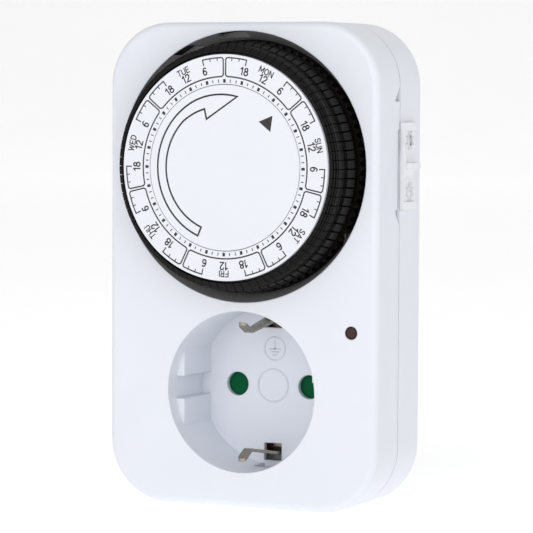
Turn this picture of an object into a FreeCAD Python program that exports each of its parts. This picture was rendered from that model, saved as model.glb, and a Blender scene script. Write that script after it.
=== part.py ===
import FreeCAD, Part
import math
import os
import Sketcher

# Plug-in seven-day timer switch. Origin at the centre of the plug face, +X right, +Y into the wall, +Z up.
# Every "depth" below is measured back from the housing's front face, in millimetres.

doc = FreeCAD.newDocument("PlugInTimer")
sheet = doc.addObject("Spreadsheet::Sheet", "Sizes")

SIZES = {
    # housing
    "housing_width": 70.0,
    "housing_height": 114.5,
    "housing_depth": 26.0,
    "corner_radius": 15.0,
    "front_fillet": 1.8,
    "back_fillet": 1.4,
    "wall": 1.8,
    "seam_depth": 12.4,
    "seam_gap": 0.2,
    "socket_height": 27.45,
    "dial_rise": 53.1,
    # housing screws
    "screw_inset": 8.5,
    "screw_rise": 7.75,
    "screw_radius": 1.4,
    "screw_head_radius": 2.8,
    "screw_head_depth": 3.0,
    "boss_wall": 1.2,
    # socket
    "socket_radius": 19.1,
    "socket_depth": 18.3,
    "cup_wall": 1.4,
    "floor_thickness": 1.5,
    "pin_pitch": 19.0,
    "pin_hole_radius": 2.9,
    "guide_half_span": 16.75,
    "guide_gap": 5.4,
    "guide_start": 4.0,
    "earth_slot_width": 4.6,
    "earth_slot_low": 14.0,
    "earth_slot_high": 18.2,
    "earth_groove": 0.6,
    "earth_groove_start": 12.0,
    # earth clips
    "strip_thickness": 0.7,
    "clip_arm_half": 1.85,
    "clip_tip_half": 1.1,
    "clip_tip_depth": 0.5,
    "clip_tip_rise": 16.2,
    "clip_bend_depth": 4.5,
    "clip_bend_rise": 14.1,
    "clip_floor_rise": 16.3,
    "clip_root_rise": 15.6,
    # plug
    "plug_length": 17.5,
    "plug_radius": 18.2,
    "plug_half_flat": 16.3,
    "plug_wall": 1.6,
    "plug_face": 2.2,
    "plug_pin_radius": 2.4,
    "pin_collar_radius": 2.7,
    "plug_pin_length": 19.0,
    "pin_head_radius": 3.6,
    "pin_head_length": 2.9,
    "neutral_link_length": 2.4,
    # dial
    "dial_proud": 9.2,
    "scale_radius": 26.3,
    "scale_thickness": 1.0,
    "cap_radius": 19.25,
    "cap_gap": 0.15,
    "drum_radius": 26.7,
    "drum_wall": 2.1,
    "flange_front": 2.9,
    "flange_thickness": 1.6,
    "flange_tip_radius": 29.65,
    "flange_tooth": 0.65,
    "post_radius": 3.0,
    "running_gap": 0.06,
    "tappet_count": 84.0,
    "tappet_inner": 26.9,
    "tappet_travel": 2.0,
    "stem_outer": 28.1,
    "stem_reach": 4.7,
    # dial well
    "well_radius": 31.9,
    "well_lip": 0.6,
    "liner_radius": 32.4,
    "liner_inner": 29.9,
    "funnel_depth": 4.5,
    # mechanism
    "plate_front": 7.2,
    "plate_thickness": 1.6,
    "bridge_front": 13.2,
    "gear_module": 0.5,
    "drive_teeth": 72.0,
    "drive_thickness": 1.8,
    "arbor_teeth": 9.0,
    "wheel_teeth": 40.0,
    "motor_teeth": 10.0,
    "arbor_angle": 210.0,
    "motor_angle": 30.0,
    "arbor_radius": 0.75,
    "motor_radius": 17.0,
    "motor_depth": 8.8,
    # side slider
    "slider_proud": 1.0,
    "slider_width": 7.9,
    "slider_low": 43.1,
    "slider_length": 20.7,
    "slider_travel": 5.0,
    # switch
    "switch_rise": 3.6,
    "switch_height": 4.1,
    "switch_depth": 7.8,
    "blade_thickness": 0.4,
    # indicator
    "lens_radius": 1.5,
    "lens_x": 28.36,
    "lens_z": 15.1,
}

for row, (alias, amount) in enumerate(SIZES.items(), start=1):
    sheet.set("A%d" % row, alias)
    sheet.set("B%d" % row, str(amount))
    sheet.setAlias("B%d" % row, alias)
doc.recompute()


class Size:
    """A length that knows both its number and its formula in sheet cells."""

    def __init__(self, number, formula):
        self.number = number
        self.formula = formula

    def __float__(self):
        return self.number

    def __add__(self, other):
        return Size(self.number + float(other), "(%s + %s)" % (self.formula, formula_of(other)))

    def __radd__(self, other):
        return self + other

    def __sub__(self, other):
        return Size(self.number - float(other), "(%s - %s)" % (self.formula, formula_of(other)))

    def __rsub__(self, other):
        return -self + other

    def __mul__(self, other):
        return Size(self.number * float(other), "(%s * %s)" % (self.formula, formula_of(other)))

    def __rmul__(self, other):
        return self * other

    def __truediv__(self, other):
        return Size(self.number / float(other), "(%s / %s)" % (self.formula, formula_of(other)))

    def __neg__(self):
        return Size(-self.number, "(0 - %s)" % self.formula)


def formula_of(amount):
    if isinstance(amount, Size):
        return amount.formula
    return "%.6f" % amount


def cell(alias):
    return Size(float(sheet.get(alias)), "Sizes.%s" % alias)


def bind(item, path, amount):
    item.setExpression(path, formula_of(amount))


# Driving values

housing_width = cell("housing_width")
housing_height = cell("housing_height")
housing_depth = cell("housing_depth")
corner_radius = cell("corner_radius")
wall = cell("wall")
seam_depth = cell("seam_depth")
rear_start = seam_depth + cell("seam_gap")
half_width = housing_width / 2
bottom = -cell("socket_height")
top = bottom + housing_height
middle = bottom + housing_height / 2
inner_half = half_width - wall
inner_back = housing_depth - wall
plug_length = cell("plug_length")
plug_face_depth = housing_depth + plug_length
front_y = -plug_face_depth
dial_z = cell("dial_rise")
pin_x = cell("pin_pitch") / 2
socket_radius = cell("socket_radius")
socket_depth = cell("socket_depth")
cup_radius = socket_radius + cell("cup_wall")
floor_back = socket_depth + cell("floor_thickness")
running_gap = cell("running_gap")
screw_radius = cell("screw_radius")
screw_head_radius = cell("screw_head_radius")
screw_head_front = housing_depth - cell("screw_head_depth")
screw_x = half_width - cell("screw_inset")
screw_places = [
    (screw_x, bottom + cell("screw_rise")),
    (-screw_x, bottom + cell("screw_rise")),
    (screw_x, top - cell("screw_rise")),
    (-screw_x, top - cell("screw_rise")),
]

# A tool reaches this far past the face it cuts
OVERCUT = 1.0
# Clearances: a close seat, a pocket round a fixed piece, a gap between neighbours that never touch
CLEAR = 0.05
POCKET = 0.2
APART = 0.3

subparts = []


def keep(label, item):
    item.Label = label
    subparts.append(item)
    return item


# Building blocks

def place(item, x, depth, z):
    bind(item, "Placement.Base.x", x)
    bind(item, "Placement.Base.y", front_y + depth)
    bind(item, "Placement.Base.z", z)


def rod(radius, start, end, x=0.0, z=0.0):
    """A cylinder along Y between two depths."""
    item = doc.addObject("Part::Cylinder", "Rod")
    item.Placement.Rotation = FreeCAD.Rotation(FreeCAD.Vector(1, 0, 0), -90)
    bind(item, "Radius", radius)
    bind(item, "Height", end - start)
    place(item, x, start, z)
    return item


def taper(radius_start, radius_end, start, end, x=0.0, z=0.0):
    """A cone along Y between two depths."""
    item = doc.addObject("Part::Cone", "Taper")
    item.Placement.Rotation = FreeCAD.Rotation(FreeCAD.Vector(1, 0, 0), -90)
    bind(item, "Radius1", radius_start)
    bind(item, "Radius2", radius_end)
    bind(item, "Height", end - start)
    place(item, x, start, z)
    return item


def cross_rod(radius, x_start, x_end, depth, z):
    """A cylinder along X."""
    item = doc.addObject("Part::Cylinder", "CrossRod")
    item.Placement.Rotation = FreeCAD.Rotation(FreeCAD.Vector(0, 1, 0), 90)
    bind(item, "Radius", radius)
    bind(item, "Height", x_end - x_start)
    place(item, x_start, depth, z)
    return item


def upright_rod(radius, x, depth, z_start, z_end):
    """A cylinder along Z."""
    item = doc.addObject("Part::Cylinder", "UprightRod")
    bind(item, "Radius", radius)
    bind(item, "Height", z_end - z_start)
    place(item, x, depth, z_start)
    return item


def bar(x, depth, z):
    """A box from three (low, high) pairs."""
    item = doc.addObject("Part::Box", "Bar")
    bind(item, "Length", x[1] - x[0])
    bind(item, "Width", depth[1] - depth[0])
    bind(item, "Height", z[1] - z[0])
    place(item, x[0], depth[0], z[0])
    return item


def fuse(*items):
    joined = doc.addObject("Part::MultiFuse", "Joined")
    joined.Shapes = list(items)
    joined.Refine = True
    return joined


def cut(base, *tools):
    result = doc.addObject("Part::Cut", "Cut")
    result.Base = base
    result.Tool = tools[0] if len(tools) == 1 else fuse(*tools)
    result.Refine = True
    return result


def common(first, second):
    result = doc.addObject("Part::Common", "Common")
    result.Base = first
    result.Tool = second
    return result


def ring(outer, inner, start, end, x=0.0, z=0.0):
    return cut(rod(outer, start, end, x, z), rod(inner, start - OVERCUT, end + OVERCUT, x, z))


def group_of(name, items):
    group = doc.addObject("Part::Compound", name)
    group.Links = items
    return group


def feature(shape, label):
    """A computed solid with its own Placement."""
    item = doc.addObject("Part::Feature", label)
    item.Shape = shape
    return keep(label, item)


def origin_plane(body, role):
    for item in body.Origin.OriginFeatures:
        if item.Role == role:
            return item
    raise ValueError(role)


def rounded_sketch(body, width, height, radius):
    """A rounded rectangle centred on the body's origin, in its XZ plane."""
    sketch = body.newObject("Sketcher::SketchObject", "Outline")
    sketch.AttachmentSupport = [(origin_plane(body, "XZ_Plane"), "")]
    sketch.MapMode = "FlatFace"
    w = float(width) / 2
    h = float(height) / 2
    r = float(radius)
    normal = FreeCAD.Vector(0, 0, 1)

    def point(x, y):
        return FreeCAD.Vector(x, y, 0)

    sketch.addGeometry([
        Part.LineSegment(point(r - w, h), point(w - r, h)),
        Part.LineSegment(point(w, h - r), point(w, r - h)),
        Part.LineSegment(point(w - r, -h), point(r - w, -h)),
        Part.LineSegment(point(-w, r - h), point(-w, h - r)),
        Part.ArcOfCircle(Part.Circle(point(w - r, h - r), normal, r), 0, math.pi / 2),
        Part.ArcOfCircle(Part.Circle(point(w - r, r - h), normal, r), -math.pi / 2, 0),
        Part.ArcOfCircle(Part.Circle(point(r - w, r - h), normal, r), math.pi, 1.5 * math.pi),
        Part.ArcOfCircle(Part.Circle(point(r - w, h - r), normal, r), math.pi / 2, math.pi),
    ], False)
    rules = [
        ("Tangent", 0, 2, 4, 2), ("Tangent", 4, 1, 1, 1), ("Tangent", 1, 2, 5, 2), ("Tangent", 5, 1, 2, 1),
        ("Tangent", 2, 2, 6, 2), ("Tangent", 6, 1, 3, 1), ("Tangent", 3, 2, 7, 2), ("Tangent", 7, 1, 0, 1),
        ("Horizontal", 0), ("Vertical", 1), ("Horizontal", 2), ("Vertical", 3),
        ("Equal", 4, 5), ("Equal", 4, 6), ("Symmetric", 4, 3, 6, 3, -1, 1),
    ]
    for rule in rules:
        sketch.addConstraint(Sketcher.Constraint(*rule))
    spans = [
        ("corner", Sketcher.Constraint("Radius", 4, r), radius),
        ("across", Sketcher.Constraint("DistanceX", 7, 3, 4, 3, 2 * (w - r)), width - radius * 2),
        ("upward", Sketcher.Constraint("DistanceY", 5, 3, 4, 3, 2 * (h - r)), height - radius * 2),
    ]
    for name, constraint, amount in spans:
        index = sketch.addConstraint(constraint)
        sketch.renameConstraint(index, name)
        bind(sketch, "Constraints.%s" % name, amount)
    return sketch


def rounded_block(name, width, height, radius, start, end, fillet=None, fillet_front=True):
    """A rounded rectangle padded between two depths, with one rim rounded over."""
    body = doc.addObject("PartDesign::Body", name)
    sketch = rounded_sketch(body, width, height, radius)
    pad = body.newObject("PartDesign::Pad", "Pad")
    pad.Profile = sketch
    bind(pad, "Length", end - start)
    place(body, 0.0, end, middle)
    doc.recompute()
    if fillet is not None:
        rims = sorted(range(len(pad.Shape.Faces)), key=lambda n: pad.Shape.Faces[n].CenterOfMass.y)
        face = rims[0] if fillet_front else rims[-1]
        rounding = body.newObject("PartDesign::Fillet", "Rounding")
        rounding.Base = (pad, ["Face%d" % (face + 1)])
        bind(rounding, "Radius", fillet)
    return body


def revolved_pin(name, profile, x, z):
    """A turned pin: a closed half profile of (radius, depth) spun about its own axis along Y."""
    body = doc.addObject("PartDesign::Body", name)
    sketch = body.newObject("Sketcher::SketchObject", "Profile")
    sketch.AttachmentSupport = [(origin_plane(body, "XY_Plane"), "")]
    sketch.MapMode = "FlatFace"
    count = len(profile)
    corners = [FreeCAD.Vector(float(radius), float(depth), 0) for radius, depth in profile]
    for n in range(count):
        sketch.addGeometry(Part.LineSegment(corners[n], corners[(n + 1) % count]), False)
    for n in range(count):
        sketch.addConstraint(Sketcher.Constraint("Coincident", n, 2, (n + 1) % count, 1))
    for n, (radius, depth) in enumerate(profile):
        for axis, amount in (("X", radius), ("Y", depth)):
            rule = Sketcher.Constraint("Distance" + axis, -1, 1, n, 1, float(amount))
            index = sketch.addConstraint(rule)
            label = "corner_%s_%d" % (axis.lower(), n)
            sketch.renameConstraint(index, label)
            bind(sketch, "Constraints.%s" % label, amount)
    turned = body.newObject("PartDesign::Revolution", "Turned")
    turned.Profile = sketch
    turned.ReferenceAxis = (sketch, ["V_Axis"])
    turned.Angle = 360
    place(body, x, 0.0, z)
    return body


def prism(points, x_start, x_end):
    """A solid with a (depth, z) outline, swept along X."""
    corners = [FreeCAD.Vector(float(x_start), float(front_y + d), float(z)) for d, z in points]
    face = Part.Face(Part.makePolygon(corners + corners[:1]))
    return face.extrude(FreeCAD.Vector(float(x_end - x_start), 0, 0))


def prism_tool(points, x_start, x_end):
    item = doc.addObject("Part::Feature", "Prism")
    item.Shape = prism(points, x_start, x_end)
    return item


def toothed_outline(teeth, tip, root, phase, tip_share, root_share):
    """The closed outline of a gear in the XZ plane, with one tooth centred on the phase angle."""
    pitch = 2 * math.pi / teeth
    points = []
    for n in range(int(teeth)):
        mid = math.radians(phase) + n * pitch
        for radius, share in ((root, -root_share), (tip, -tip_share), (tip, tip_share), (root, root_share)):
            angle = mid + share * pitch / 2
            points.append(FreeCAD.Vector(radius * math.cos(angle), 0, radius * math.sin(angle)))
    return Part.makePolygon(points + points[:1])


def round_hole(radius):
    circle = Part.Circle(FreeCAD.Vector(0, 0, 0), FreeCAD.Vector(0, 1, 0), radius)
    return Part.Wire([circle.toShape()])


def plate_from(outline, holes, start, end, x, z):
    """A flat plate from an outline with holes, between two depths."""
    face = Part.makeFace([outline] + holes, "Part::FaceMakerBullseye")
    solid = face.extrude(FreeCAD.Vector(0, float(end - start), 0))
    solid.translate(FreeCAD.Vector(float(x), float(front_y + start), float(z)))
    return solid


def gear(label, teeth, bore, start, end, x, z, phase):
    module = float(cell("gear_module"))
    pitch_radius = module * float(teeth) / 2
    tip = pitch_radius + 0.8 * module
    root = pitch_radius - 1.2 * module
    outline = toothed_outline(float(teeth), tip, root, phase, 0.24, 0.56)
    return feature(plate_from(outline, [round_hole(float(bore))], start, end, x, z), label)


# Front shell

BOSS_SHORT = 0.2
GRIP_NOTCH = 1.0
GRIP_SHORT = 1.8
FACET_SINK = 0.8
FACET_DEPTH = 2.9
FACET_RISE = 3.5
FACET_ABOVE = 4.9


def mirrored(low, high, side):
    """The (low, high) pair on the chosen side of the middle plane."""
    return tuple(sorted((low * side, high * side), key=float))


def front_shell():
    block = rounded_block("FrontBlock", housing_width, housing_height, corner_radius, 0.0, seam_depth,
                          cell("front_fillet"))
    hollow = rounded_block("FrontHollow", housing_width - wall * 2, housing_height - wall * 2,
                           corner_radius - wall, wall, seam_depth + OVERCUT)
    shell = cut(block, hollow)
    cup = rod(cup_radius, wall / 2, floor_back)
    boss_radius = screw_radius + cell("boss_wall")
    bosses = [rod(boss_radius, wall / 2, seam_depth - BOSS_SHORT, x, z) for x, z in screw_places]
    switch_seat = bar(switch_x, (wall / 2, switch_front), (switch_low, switch_high))
    board_post = rod(BOARD_POST_RADIUS, wall / 2, board_depth, board_post_x, board_post_z)
    solid = fuse(shell, cup, *bosses, switch_seat, board_post)
    return cut(solid, socket_recess(), *socket_floor_holes(), *dial_well(), *shell_holes(), *grip_facets())


def socket_recess():
    """The round recess, less the four guide blocks that stand in it."""
    span = cell("guide_half_span")
    gap = cell("guide_gap") / 2
    guides = []
    for side in (1, -1):
        for level in (1, -1):
            guides.append(bar(mirrored(span, cup_radius, side), (cell("guide_start"), floor_back),
                              mirrored(gap, cup_radius, level)))
    return cut(rod(socket_radius, -OVERCUT, socket_depth), *guides)


def socket_floor_holes():
    slot = (cell("earth_slot_low"), cell("earth_slot_high"))
    groove = (socket_radius - OVERCUT, socket_radius + cell("earth_groove"))
    tools = []
    for side in (1, -1):
        tools.append(rod(cell("pin_hole_radius"), socket_depth - OVERCUT, floor_back + OVERCUT, pin_x * side))
        tools.append(bar((-slot_half, slot_half), (socket_depth - OVERCUT, floor_back + OVERCUT),
                         mirrored(slot[0], slot[1], side)))
        tools.append(bar((-slot_half, slot_half), (cell("earth_groove_start"), socket_depth),
                         mirrored(groove[0], groove[1], side)))
    return tools


def dial_well():
    return [rod(cell("well_radius"), -OVERCUT, well_lip + OVERCUT, 0.0, dial_z),
            rod(liner_radius + CLEAR, well_lip, plate_back + POCKET, 0.0, dial_z)]


def shell_holes():
    lens_hole = rod(cell("lens_radius") + CLEAR, -OVERCUT, wall + OVERCUT, cell("lens_x"), cell("lens_z"))
    screw_holes = [rod(screw_radius + CLEAR, wall * 2, seam_depth + OVERCUT, x, z) for x, z in screw_places]
    return [lens_hole] + screw_holes


def grip_facets():
    """The slot that the slider's rail runs in, and the sloped facet above and below it."""
    outside = half_width + OVERCUT
    edge = seam_depth + OVERCUT
    sunk = half_width - FACET_SINK
    upper = slider_low + slider_length + FACET_ABOVE
    lower = slider_low + POCKET
    rail = bar((inner_half - OVERCUT, outside), (seam_depth - GRIP_NOTCH, edge),
               (slider_low + CLEAR * 2, slider_low + slider_length - GRIP_SHORT))
    above = prism_tool([(seam_depth, upper + FACET_RISE), (edge, upper + FACET_RISE), (edge, upper),
                        (seam_depth - FACET_DEPTH, upper)], sunk, outside)
    below = prism_tool([(seam_depth, lower - FACET_RISE), (edge, lower - FACET_RISE), (edge, lower),
                        (seam_depth - FACET_DEPTH, lower)], sunk, outside)
    return [rail, above, below]


# Rear shell with the plug

RIB_WIDTH = 4.0
SCREW_HEAD = 2.0


def plug_section(radius, half_flat, start, end):
    flats = bar((-half_flat, half_flat), (start, end), (-radius, radius))
    return common(rod(radius, start, end), flats)


def rear_shell():
    block = rounded_block("RearBlock", housing_width, housing_height, corner_radius, rear_start,
                          housing_depth, cell("back_fillet"), fillet_front=False)
    hollow = rounded_block("RearHollow", housing_width - wall * 2, housing_height - wall * 2,
                           corner_radius - wall, rear_start - OVERCUT, inner_back)
    shell = cut(block, hollow)
    plug = plug_section(plug_radius, plug_half_flat, housing_depth - wall / 2, plug_face_depth)
    pillar_radius = screw_head_radius + cell("boss_wall")
    pillar_start = rear_start + POCKET
    pillars = [rod(pillar_radius, pillar_start, housing_depth - wall / 2, x, z) for x, z in screw_places]
    rib = bar((inner_half - RIB_WIDTH, inner_half + wall / 2), (slider_back, inner_back + wall / 2),
              (slider_low, slider_low + wall))
    solid = fuse(shell, plug, *pillars, rib)
    return cut(solid, plug_hollow(), *plug_side_holes(), *rear_holes())


def plug_hollow():
    return plug_section(plug_radius - plug_wall, plug_half_flat - plug_wall, inner_back - OVERCUT, plug_inner)


def plug_side_holes():
    """Pin holes, the earth contacts' pockets and the slots for their legs."""
    tools = []
    for side in (1, -1):
        tools.append(rod(cell("pin_collar_radius") + CLEAR, plug_inner - OVERCUT, plug_face_depth + OVERCUT,
                         pin_x * side))
        tools.append(bar((-contact_half - POCKET, contact_half + POCKET),
                         (contact_start - APART, plug_face_depth + OVERCUT),
                         mirrored(contact_seat, plug_radius + OVERCUT, side)))
        tools.append(bar((-leg_half - POCKET, leg_half + POCKET), (leg_start - POCKET, leg_end + POCKET),
                         mirrored(plug_radius - plug_wall - OVERCUT, contact_seat + OVERCUT, side)))
    return tools


def rear_holes():
    tools = []
    for x, z in screw_places:
        tools.append(rod(screw_radius + POCKET, rear_start - OVERCUT, housing_depth + OVERCUT, x, z))
        tools.append(rod(screw_head_radius + POCKET, screw_head_front, housing_depth + OVERCUT, x, z))
    tools.append(bar((inner_half - OVERCUT, half_width + OVERCUT), (stem_front - POCKET, stem_back + POCKET),
                     (stem_low - POCKET, stem_high + cell("slider_travel") + POCKET)))
    return tools


def housing_screws():
    """Cross-head screws that come in from the back."""
    thread_start = wall * 2 + 5.0
    half_slot = 0.4
    screws = []
    for x, z in screw_places:
        shank = rod(screw_radius, thread_start, screw_head_front + SCREW_HEAD / 2, x, z)
        head = rod(screw_head_radius, screw_head_front, screw_head_front + SCREW_HEAD, x, z)
        slot_depth = (screw_head_front + SCREW_HEAD / 2, screw_head_front + SCREW_HEAD + OVERCUT)
        slot = bar((x - SCREW_HEAD, x + SCREW_HEAD), slot_depth, (z - half_slot, z + half_slot))
        cross = bar((x - half_slot, x + half_slot), slot_depth, (z - SCREW_HEAD, z + SCREW_HEAD))
        screws.append(cut(fuse(shank, head), slot, cross))
    return group_of("Screws", screws)


# Interior stations shared by several pieces

plate_front = cell("plate_front")
plate_back = plate_front + cell("plate_thickness")
liner_radius = cell("liner_radius")
well_lip = cell("well_lip")

slider_low = cell("slider_low")
slider_length = cell("slider_length")
slider_front = seam_depth + CLEAR * 2
slider_back = slider_front + cell("slider_width")
stem_front = slider_front + 1.1
stem_back = stem_front + 4.0
stem_low = slider_low + 6.9
stem_high = stem_low + 7.0

switch_x = (cup_radius + 0.7, cup_radius + 6.1)
switch_front = wall + 2.4
switch_back = switch_front + cell("switch_depth")
switch_low = cell("switch_rise")
switch_high = switch_low + cell("switch_height")

BOARD_POST_RADIUS = 1.6
BOARD_THICKNESS = 1.0
board_depth = wall + 7.8
board_post_x = cell("lens_x") + 1.3
board_post_z = cell("lens_z") - 7.2

plug_radius = cell("plug_radius")
plug_half_flat = cell("plug_half_flat")
plug_wall = cell("plug_wall")
plug_inner = plug_face_depth - cell("plug_face")
slot_half = cell("earth_slot_width") / 2
contact_half = slot_half + 0.7
contact_seat = plug_radius - 0.9
contact_start = housing_depth + 2.0
leg_half = slot_half - APART
leg_start = contact_start + 2.4
leg_end = leg_start + 3.2


keep("front_shell", front_shell())
keep("rear_shell", rear_shell())
keep("housing_screws", housing_screws())


# Dial well and mechanism plate

post_radius = cell("post_radius")
funnel_end = well_lip + cell("funnel_depth")
gear_module = cell("gear_module")

arbor_distance = float(gear_module) * (float(cell("drive_teeth")) + float(cell("arbor_teeth"))) / 2
arbor_angle = math.radians(float(cell("arbor_angle")))
arbor_x = arbor_distance * math.cos(arbor_angle)
arbor_z = float(dial_z) + arbor_distance * math.sin(arbor_angle)
motor_distance = float(gear_module) * (float(cell("wheel_teeth")) + float(cell("motor_teeth"))) / 2
motor_angle = math.radians(float(cell("motor_angle")))
output_x = arbor_x + motor_distance * math.cos(motor_angle)
output_z = arbor_z + motor_distance * math.sin(motor_angle)


WINDOW_SKIN = 0.25


def dial_well_liner():
    """A funnel with two shallow windows at the upper left and a notch at the upper right."""
    liner_inner = cell("liner_inner")
    outer = rod(liner_radius, well_lip, plate_front, 0.0, dial_z)
    funnel = taper(cell("well_radius"), liner_inner, well_lip, funnel_end, 0.0, dial_z)
    bore = rod(liner_inner, well_lip, plate_front + OVERCUT, 0.0, dial_z)
    sink = rod(liner_radius - WINDOW_SKIN, well_lip, funnel_end - APART, 0.0, dial_z)
    windows = [
        bar((-7.0, 0.6), (well_lip - OVERCUT, funnel_end), (dial_z + 30.5, dial_z + liner_radius)),
        bar((-20.0, -10.8), (well_lip - OVERCUT, funnel_end), (dial_z + 26.2, dial_z + 28.5)),
    ]
    notch = bar((21.4, 22.9), (well_lip - OVERCUT, well_lip + 2.2), (dial_z + 20.6, dial_z + 22.6))
    return cut(outer, funnel, bore, common(sink, fuse(*windows)), notch)


LEVER_PIN_RADIUS = 0.9
LEVER_BARREL_RADIUS = 1.6
EAR_WIDTH = 1.2
PRESS_FIT = 0.02
lever_x = (cup_radius + 1.75, cup_radius + 6.15)
lever_depth = plate_back + 1.8
lever_z = dial_z - 23.1
NOSE_STEP = -8
NOSE_HALF = 1.0
nose_angle = math.radians(NOSE_STEP * 360.0 / float(cell("tappet_count")))
nose_radius = (float(cell("tappet_inner")) + float(cell("stem_outer"))) / 2
nose_x = nose_radius * math.cos(nose_angle)
nose_z = float(dial_z) + nose_radius * math.sin(nose_angle)


def mechanism_plate():
    through = (plate_front - OVERCUT, plate_back + OVERCUT)
    disc = rod(liner_radius - 0.1, plate_front, plate_back, 0.0, dial_z)
    below = bar((-liner_radius, liner_radius), through, (dial_z - liner_radius * 1.1, cup_radius + 0.5))
    leg = bar((lever_x[0] - 1.6, inner_half - 0.4), (plate_front, plate_back),
              (lever_z - 2.2, lever_z + 12.0))
    ears = []
    for x in (lever_x[0] - EAR_WIDTH - POCKET, lever_x[1] + POCKET):
        ears.append(bar((x, x + EAR_WIDTH), (plate_back - POCKET, lever_depth + LEVER_BARREL_RADIUS),
                        (lever_z - LEVER_BARREL_RADIUS, lever_z + LEVER_BARREL_RADIUS)))
    solid = fuse(cut(disc, below), leg, *ears)
    nose_window = bar((nose_x - 1.8, nose_x + 2.0), through, (nose_z - 2.6, nose_z + 2.8))
    pin_hole = cross_rod(LEVER_PIN_RADIUS + PRESS_FIT, lever_x[0] - 3.0, lever_x[1] + 3.0,
                         lever_depth, lever_z)
    post_hole = rod(post_radius + PRESS_FIT, through[0], through[1], 0.0, dial_z)
    arbor_hole = rod(cell("arbor_radius") + running_gap, through[0], through[1], arbor_x, arbor_z)
    return cut(solid, nose_window, pin_hole, post_hole, arbor_hole)


def centre_post():
    collar = 0.6
    front_end = scale_thickness - dial_proud + APART
    return fuse(rod(post_radius, front_end, plate_back + collar, 0.0, dial_z),
                rod(post_radius + 2.0, plate_back, plate_back + collar, 0.0, dial_z))


# Fixed centre cap and turning dial

dial_proud = cell("dial_proud")
scale_thickness = cell("scale_thickness")
scale_back = scale_thickness - dial_proud
drum_radius = cell("drum_radius")
drum_inner = drum_radius - cell("drum_wall")
flange_front = cell("flange_front")
flange_back = flange_front + cell("flange_thickness")
cap_radius = cell("cap_radius")
ring_inner = cap_radius + cell("cap_gap")
web_front = scale_back + 3.2
web_back = web_front + 1.2
hub_radius = post_radius + 3.0
WASHER = 0.6
hub_end = plate_front - WASHER


def centre_cap():
    disc = rod(cap_radius, -dial_proud, scale_back, 0.0, dial_z)
    boss = rod(post_radius + 1.6, scale_back - 0.1, scale_back + 2.6, 0.0, dial_z)
    bore = rod(post_radius + PRESS_FIT, scale_back + APART, scale_back + 4.0, 0.0, dial_z)
    return cut(fuse(disc, boss), bore)


def tappet_drum():
    wall_ring = ring(drum_radius, drum_inner, scale_back, flange_front, 0.0, dial_z)
    web = rod(drum_inner + 0.5, web_front, web_back, 0.0, dial_z)
    hub = rod(hub_radius, web_front, hub_end, 0.0, dial_z)
    rib = ring(ring_inner + 1.4, ring_inner + POCKET, scale_back, web_front + POCKET, 0.0, dial_z)
    bore = rod(post_radius + running_gap, web_front - OVERCUT, hub_end + OVERCUT, 0.0, dial_z)
    return cut(fuse(wall_ring, web, hub, rib), bore)


TAPPET_SIDE_GAP = 0.16
BAND_SIDE_GAP = 0.34
STEM_SHARE = 0.42
SLOT_SHARE = 0.60
tappet_count = int(float(cell("tappet_count")))
tappet_pitch = 360.0 / tappet_count
tappet_inner = float(cell("tappet_inner"))
stem_outer = float(cell("stem_outer"))


def sector_wire(inner, outer, middle_angle, half_angle):
    """A ring sector with straight ends, in the XZ plane."""
    points = []
    for radius, side in ((inner, -1), (outer, -1), (outer, 1), (inner, 1)):
        angle = math.radians(middle_angle + side * half_angle)
        points.append(FreeCAD.Vector(radius * math.cos(angle), 0, radius * math.sin(angle)))
    return Part.makePolygon(points + points[:1])


def dial_flange():
    tip = float(cell("flange_tip_radius"))
    root = tip - float(cell("flange_tooth"))
    outline = toothed_outline(tappet_count, tip, root, 0.0, 0.34, 0.62)
    holes = [round_hole(float(drum_inner))]
    for n in range(tappet_count):
        angle = (n + 0.5) * tappet_pitch
        holes.append(sector_wire(tappet_inner - POCKET, stem_outer + POCKET, angle,
                                 SLOT_SHARE * tappet_pitch / 2))
    return feature(plate_from(outline, holes, flange_front, flange_back, 0.0, dial_z), "dial_flange")


# Each tappet's outer profile as (radius above the drum, depth behind its front end): three finger ribs, the
# broad band, a low rib, a groove and the sloped rear band.

FRONT_PROFILE = [
    (0.40, 0.00), (0.40, 0.32), (0.15, 0.34), (0.15, 0.48), (0.85, 0.50), (0.85, 0.82),
    (0.55, 0.84), (0.55, 0.98), (1.30, 1.00), (1.30, 1.30), (1.10, 1.32), (1.10, 1.42),
    (1.60, 1.50), (1.60, 4.10), (1.10, 4.15), (1.10, 4.45),
]
REAR_PROFILE = [(1.70, 4.45), (1.70, 4.75), (1.30, 4.80), (1.30, 5.40), (1.90, 5.50), (2.70, 7.80)]


def tappet_outline(profile, lead):
    """The profile closed along the tappet's inner face."""
    rise = float(drum_radius) + POCKET
    outer = [(rise + height, lead + back) for height, back in profile]
    return [(tappet_inner, outer[0][1])] + outer + [(tappet_inner, outer[-1][1])]


def tappet():
    lead = 0.5 - float(dial_proud)
    rear = lead + REAR_PROFILE[-1][1]
    stem_start = rear - 0.5
    axis_point = FreeCAD.Vector(0, 0, 0)
    axis = FreeCAD.Vector(0, 1, 0)
    solids = []
    for profile, side_gap in ((FRONT_PROFILE, TAPPET_SIDE_GAP), (REAR_PROFILE, BAND_SIDE_GAP)):
        corners = [FreeCAD.Vector(radius, depth, 0) for radius, depth in tappet_outline(profile, lead)]
        face = Part.Face(Part.makePolygon(corners + corners[:1]))
        sweep = tappet_pitch - math.degrees(side_gap / tappet_inner)
        face.rotate(axis_point, axis, sweep / 2)
        solids.append(face.revolve(axis_point, axis, -sweep))
    stem = Part.Face(sector_wire(tappet_inner + CLEAR, stem_outer, 0.0, STEM_SHARE * tappet_pitch / 2))
    stem.translate(FreeCAD.Vector(0, stem_start, 0))
    solids.append(stem.extrude(FreeCAD.Vector(0, float(cell("stem_reach")) - stem_start, 0)))
    return solids[0].fuse(solids[1:]).removeSplitter()


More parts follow.
